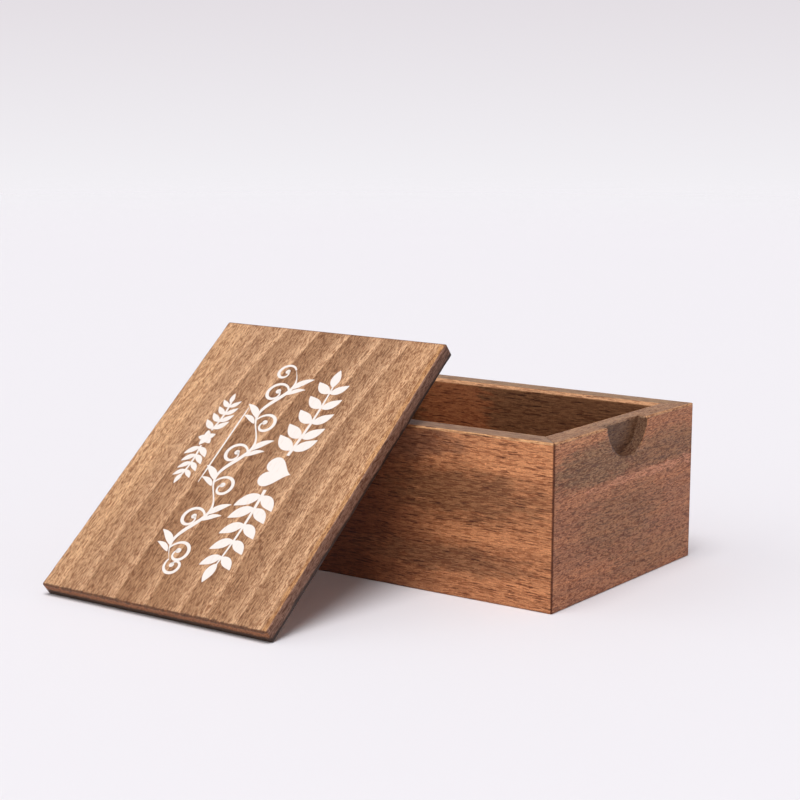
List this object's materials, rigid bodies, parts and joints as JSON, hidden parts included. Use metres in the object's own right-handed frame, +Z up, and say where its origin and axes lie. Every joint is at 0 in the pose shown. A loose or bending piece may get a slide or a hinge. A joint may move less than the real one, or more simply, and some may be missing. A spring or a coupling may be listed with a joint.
{
  "type": "card box",
  "caption": "Small mitred wooden box for wedding cards and photo prints, with a thumb notch in one short wall and a loose lift-off lid leaning on the front wall.",
  "frame": {"origin": "centre of the box's underside, on the surface that it stands on", "axes": "+Z up, +X towards the short wall with the thumb notch, -Y towards the long front wall that the lid leans on"},
  "size_m": [0.1858, 0.2197, 0.1016],
  "materials": {
    "wall_wood": "reddish-brown stained beech, long grain level, satin",
    "end_wood": "pinkish-brown stained beech, blotched, satin",
    "lid_wood": "light walnut stained beech, brushed, satin",
    "inner_board": "dark brown stained board, matt",
    "spline_wood": "raw beech"
  },
  "bodies": {
    "box": {"front_wall": "wall_wood", "back_wall": "wall_wood", "left_wall": "end_wood", "right_wall": "end_wood", "bottom_panel": "inner_board", "spline_front_left": "spline_wood", "spline_front_right": "spline_wood", "spline_back_left": "spline_wood", "spline_back_right": "spline_wood"},
    "lid": {"lid_panel": "lid_wood", "lid_locating_panel": "inner_board"}
  },
  "joints": [
    {"name": "lid_lift", "type": "slide", "parent": "box", "child": "lid", "axis": [0, 0, 1], "range_m": [0, 0.1]}
  ]
}
